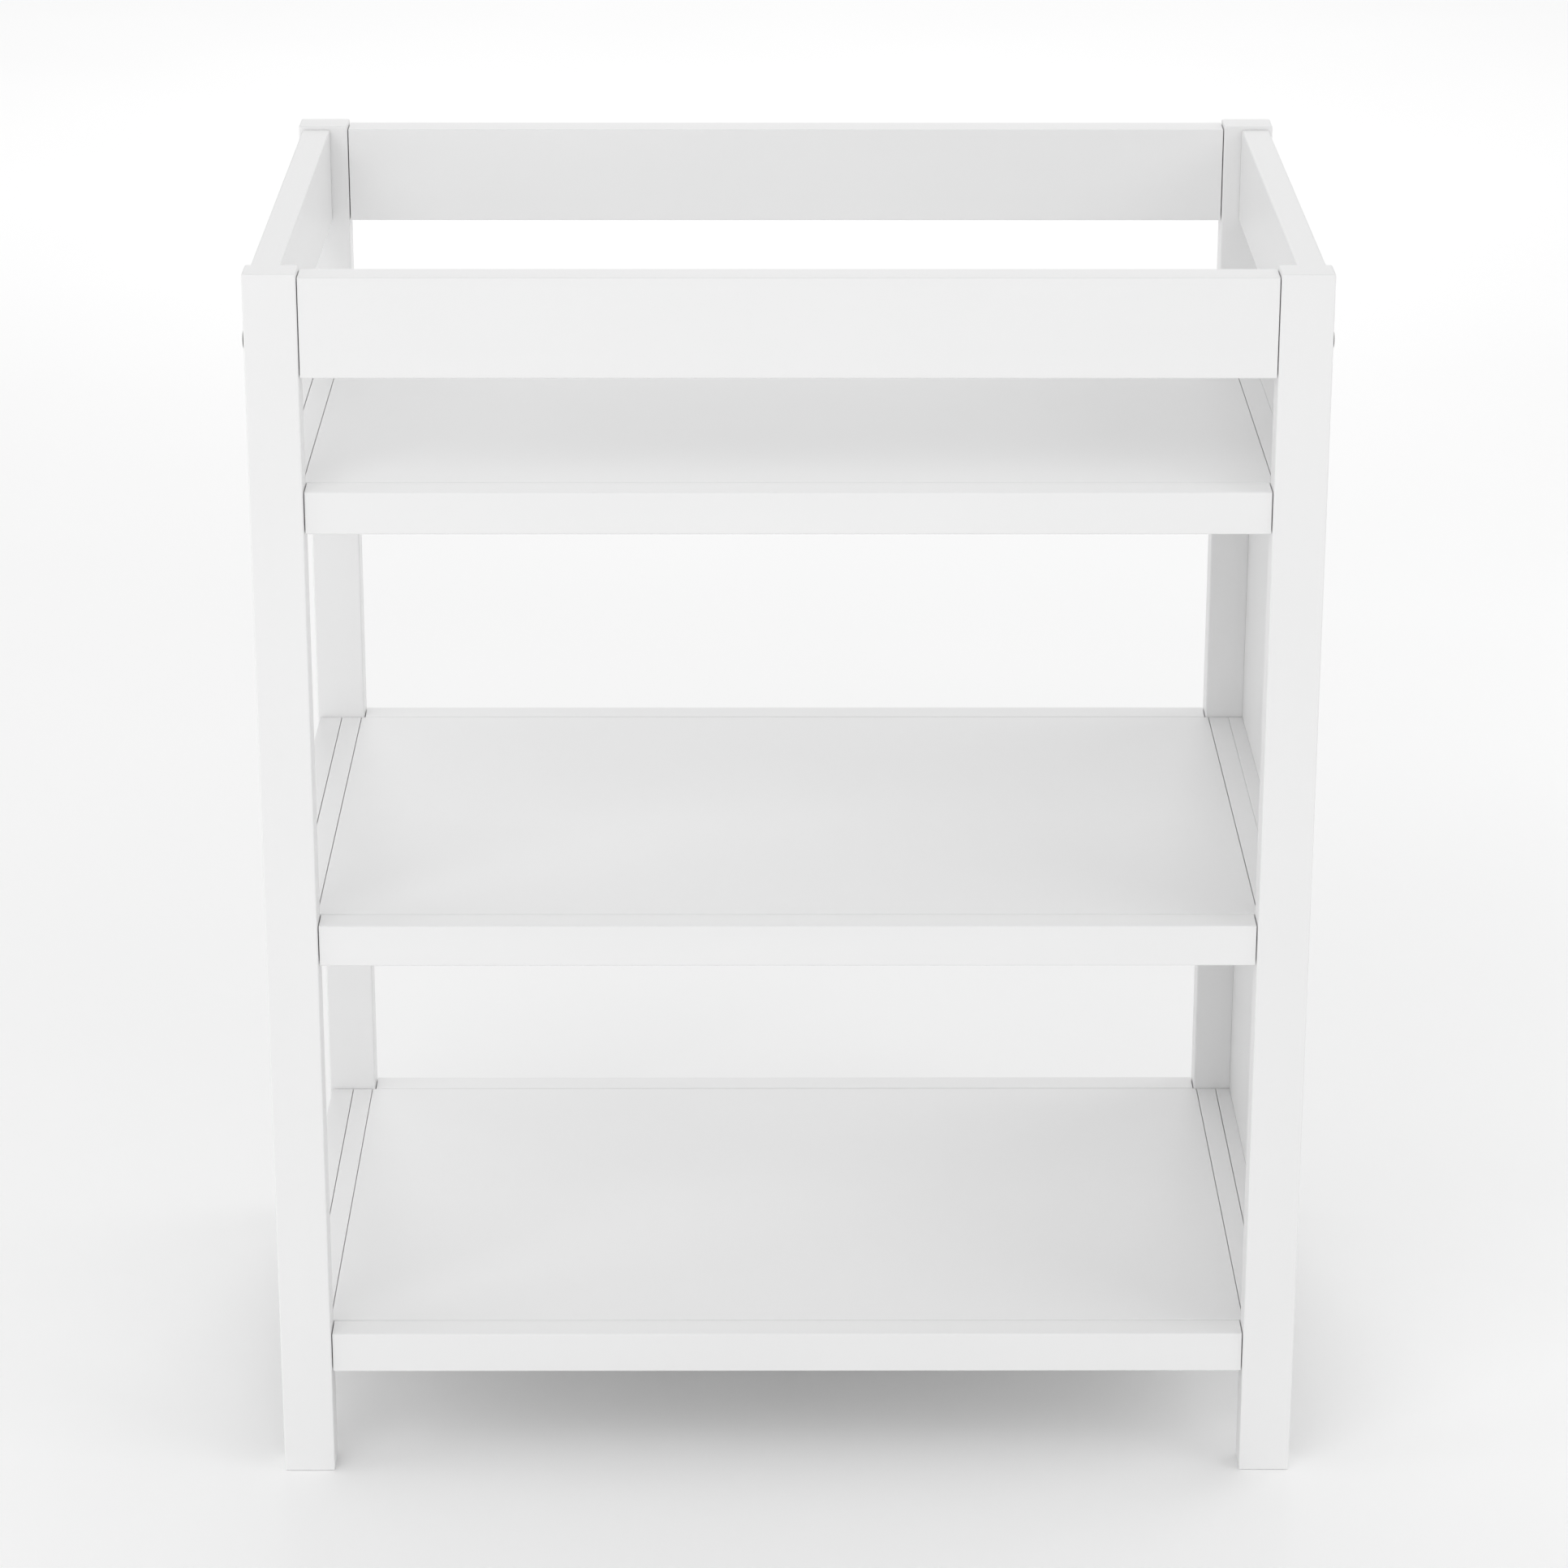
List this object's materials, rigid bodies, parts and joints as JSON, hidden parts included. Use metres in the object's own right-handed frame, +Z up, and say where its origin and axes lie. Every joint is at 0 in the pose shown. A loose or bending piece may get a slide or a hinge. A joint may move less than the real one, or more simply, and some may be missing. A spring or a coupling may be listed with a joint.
{
  "type": "changing table",
  "caption": "White wooden changing table with a railed top tray over open storage shelves, on flat posts, with one end closed by a panel.",
  "frame": {"origin": "on the floor, under the middle of the table", "axes": "+Z up, -Y towards the front, +X towards the closed right end"},
  "size_m": [0.868, 0.556, 1.058],
  "materials": {
    "white_paint": "satin white paint on solid wood",
    "white_panel": "satin white paint on fibreboard",
    "dark_metal": "dark zinc plating, half matt",
    "zinc_steel": "bright zinc plating",
    "beech": "bare turned beech"
  },
  "bodies": {
    "root": {"post_front_left": "white_paint", "post_front_right": "white_paint", "post_back_left": "white_paint", "post_back_right": "white_paint", "top_rail_front": "white_paint", "top_rail_back": "white_paint", "top_rail_left": "white_paint", "top_rail_right": "white_paint", "end_rail_low_left": "white_paint", "end_rail_low_right": "white_paint", "end_rail_middle_left": "white_paint", "end_rail_middle_right": "white_paint", "end_rail_top_left": "white_paint", "end_rail_top_right": "white_paint", "end_panel_right": "white_panel", "shelf_panel_low": "white_panel", "shelf_panel_middle": "white_panel", "shelf_panel_top": "white_panel", "shelf_rail_low_front": "white_paint", "shelf_rail_low_back": "white_paint", "shelf_rail_middle_front": "white_paint", "shelf_rail_middle_back": "white_paint", "shelf_rail_top_front": "white_paint", "shelf_rail_top_back": "white_paint", "shelf_rail_low_left": "white_paint", "shelf_rail_low_right": "white_paint", "shelf_rail_middle_left": "white_paint", "shelf_rail_middle_right": "white_paint", "shelf_rail_top_left": "white_paint", "shelf_rail_top_right": "white_paint", "top_rail_bolts": "dark_metal", "barrel_nuts": "zinc_steel", "shelf_bolts": "dark_metal", "threaded_inserts": "zinc_steel", "long_dowels": "beech", "short_dowels": "beech"}
  },
  "joints": []
}
